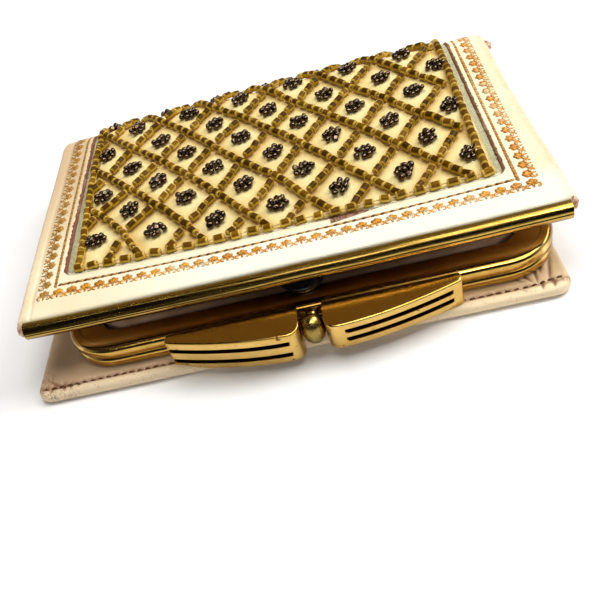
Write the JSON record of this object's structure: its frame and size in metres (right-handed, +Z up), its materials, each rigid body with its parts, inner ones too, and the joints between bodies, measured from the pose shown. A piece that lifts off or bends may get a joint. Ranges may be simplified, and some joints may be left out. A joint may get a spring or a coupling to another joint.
{
  "type": "folding leather purse with a beaded cover and a framed coin pouch",
  "caption": "Folding leather purse lying shut: beaded window in the cover, metal edge bar, framed coin pouch inside with a bow clasp at the front.",
  "frame": {"origin": "middle of the underside of the whole purse, on the surface it lies on", "axes": "+X along the front edge to the right, +Y to the back where the spine is, +Z up"},
  "size_m": [0.112, 0.088, 0.0203],
  "materials": {
    "case_leather": "smooth cream leather, worn at the edges",
    "pouch_leather": "soft pinkish leather",
    "panel_cloth": "cream-yellow embroidery cloth",
    "bead_glass": "amber tube beads",
    "gold_metal": "polished gold-tone metal, lightly worn",
    "black_enamel": "glossy black"
  },
  "bodies": {
    "root": {"leather_case": "case_leather", "edge_bar": "gold_metal", "bead_panel": "panel_cloth", "bead_lattice": "bead_glass", "upper_jaw": "gold_metal", "lower_jaw": "gold_metal", "hinge_knuckle_left": "gold_metal", "hinge_knuckle_right": "gold_metal", "left_wing": "gold_metal", "right_wing": "gold_metal", "clasp_ball": "gold_metal", "coin_pouch": "pouch_leather", "snap": "black_enamel"}
  },
  "joints": []
}
